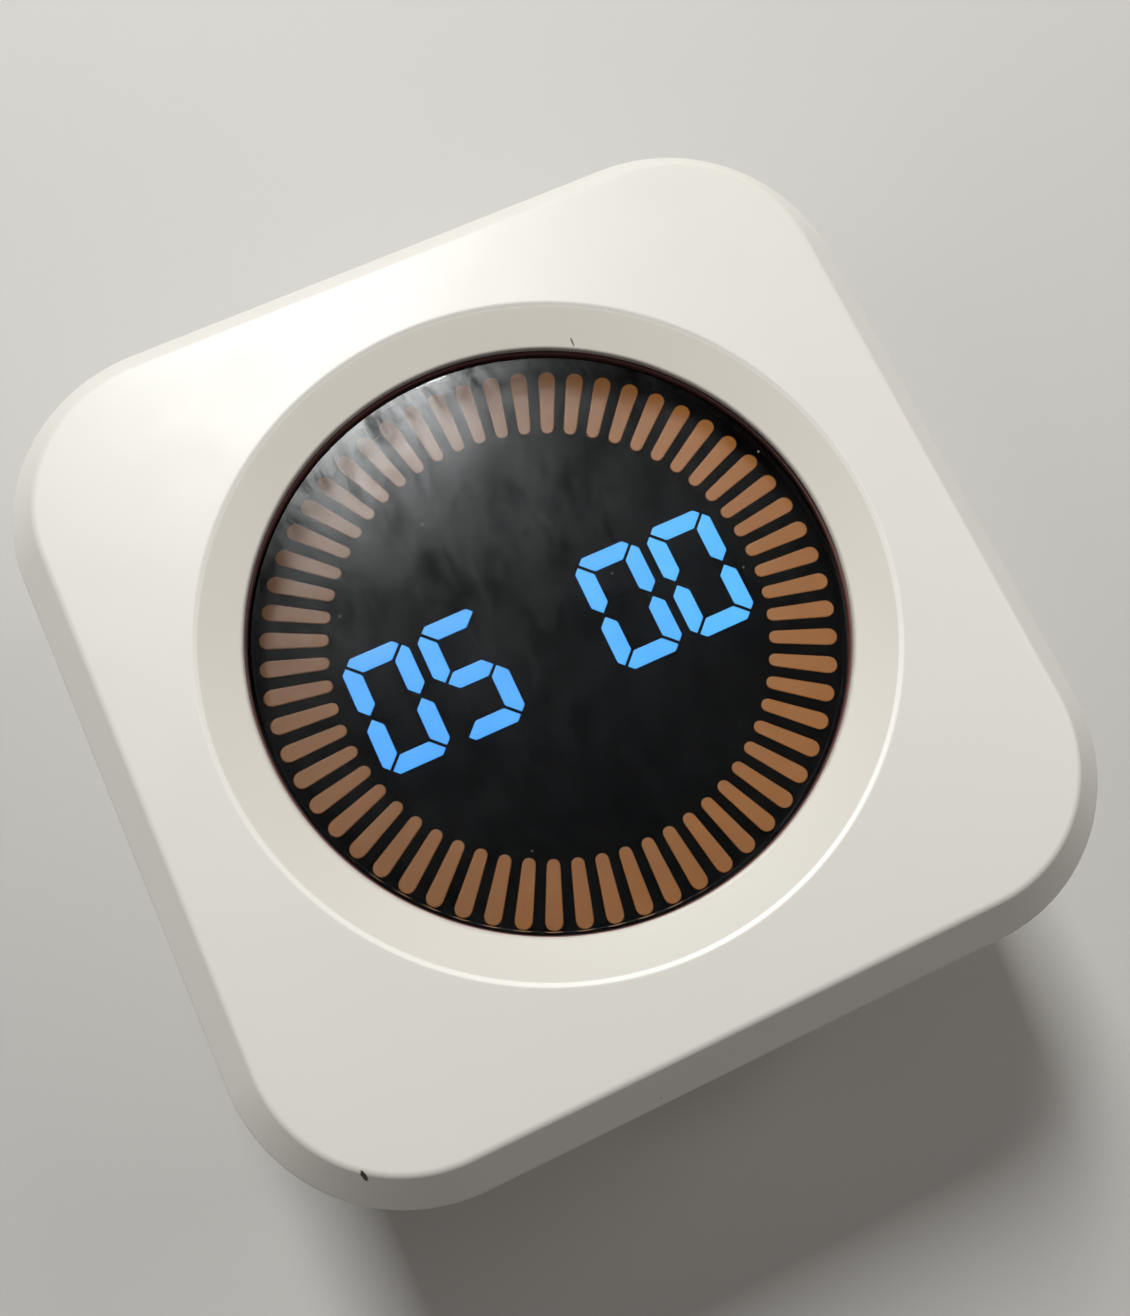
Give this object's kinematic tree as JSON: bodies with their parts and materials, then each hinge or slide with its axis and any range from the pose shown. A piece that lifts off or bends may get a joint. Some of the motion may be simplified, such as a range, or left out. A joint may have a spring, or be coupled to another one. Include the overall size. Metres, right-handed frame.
{
  "type": "countdown timer",
  "caption": "Rounded-square desktop countdown timer with a dished face, a smoked round lens over a ring of light bars and seven-segment digits, rear buttons, slide switch and charging socket.",
  "frame": {"origin": "middle of the plane that the four rubber feet rest on", "axes": "+Z out of the display, +X to the display's right, +Y to the display's top"},
  "size_m": [0.0776, 0.0776, 0.042],
  "materials": {
    "white_plastic": "satin moulded ABS",
    "control_plastic": "satin moulded ABS",
    "black_plastic": "matt",
    "mask_black": "printed film",
    "smoked_lens": "polished, smoked, see-through",
    "amber_plastic": "amber-brown, unlit",
    "blue_segments": "lit blue, or black where unlit",
    "black_adhesive": "matt",
    "dark_rubber": "matt",
    "plated_steel": "nickel plated",
    "green_board": "solder mask",
    "chip_black": "matt",
    "battery_foil": "foil pouch",
    "foam": "closed-cell foam",
    "red_wire": "wire insulation",
    "connector_white": "moulded nylon",
    "ribbon": "flat cable"
  },
  "bodies": {
    "case": {"bar_light_guide": "amber_plastic", "battery": "battery_foil", "battery_connector": "connector_white", "battery_lead_black": "chip_black", "battery_lead_red": "red_wire", "battery_pad": "foam", "board_screw_1": "plated_steel", "board_screw_2": "plated_steel", "board_screw_3": "plated_steel", "board_screw_4": "plated_steel", "buzzer": "chip_black", "charger_chip": "chip_black", "cover_screw_1": "plated_steel", "cover_screw_2": "plated_steel", "cover_screw_3": "plated_steel", "cover_screw_4": "plated_steel", "digit_light_guide_1": "blue_segments", "digit_light_guide_2": "blue_segments", "digit_light_guide_3": "blue_segments", "digit_light_guide_4": "blue_segments", "display_lens": "smoked_lens", "display_mask": "mask_black", "display_screw_1": "plated_steel", "display_screw_2": "plated_steel", "display_screw_3": "plated_steel", "display_screw_4": "plated_steel", "front_housing": "white_plastic", "gravity_sensor": "chip_black", "led_board": "green_board", "led_driver": "chip_black", "lens_adhesive_ring": "black_adhesive", "lens_bezel": "black_plastic", "light_shield": "black_plastic", "main_board": "green_board", "microcontroller": "chip_black", "rear_cover": "white_plastic", "ribbon_cable": "ribbon", "ribbon_socket_display": "chip_black", "ribbon_socket_main": "chip_black", "rubber_foot_1": "dark_rubber", "rubber_foot_2": "dark_rubber", "rubber_foot_3": "dark_rubber", "rubber_foot_4": "dark_rubber", "slide_switch": "plated_steel", "tact_switch_minutes": "plated_steel", "tact_switch_seconds": "plated_steel", "tact_switch_start": "plated_steel", "usb_socket": "plated_steel"},
    "minutes_button": {"button_minutes": "control_plastic", "tact_plunger_minutes": "chip_black"},
    "seconds_button": {"button_seconds": "control_plastic", "tact_plunger_seconds": "chip_black"},
    "start_button": {"button_start": "control_plastic", "tact_plunger_start": "chip_black"},
    "mode_slider": {"slide_knob": "control_plastic", "switch_actuator": "chip_black"}
  },
  "joints": [
    {"name": "minutes_button_press", "type": "slide", "parent": "case", "child": "minutes_button", "axis": [0, 0, 1], "range_m": [0, 0.0004], "stiffness_N_per_m": 3000, "springref_m": -0.0001},
    {"name": "seconds_button_press", "type": "slide", "parent": "case", "child": "seconds_button", "axis": [0, 0, 1], "range_m": [0, 0.0004], "stiffness_N_per_m": 3000, "springref_m": -0.0001},
    {"name": "start_button_press", "type": "slide", "parent": "case", "child": "start_button", "axis": [0, 0, 1], "range_m": [0, 0.0004], "stiffness_N_per_m": 3000, "springref_m": -0.0001},
    {"name": "mode_slider_slide", "type": "slide", "parent": "case", "child": "mode_slider", "axis": [1, 0, 0], "range_m": [-0.002, 0.002]}
  ]
}
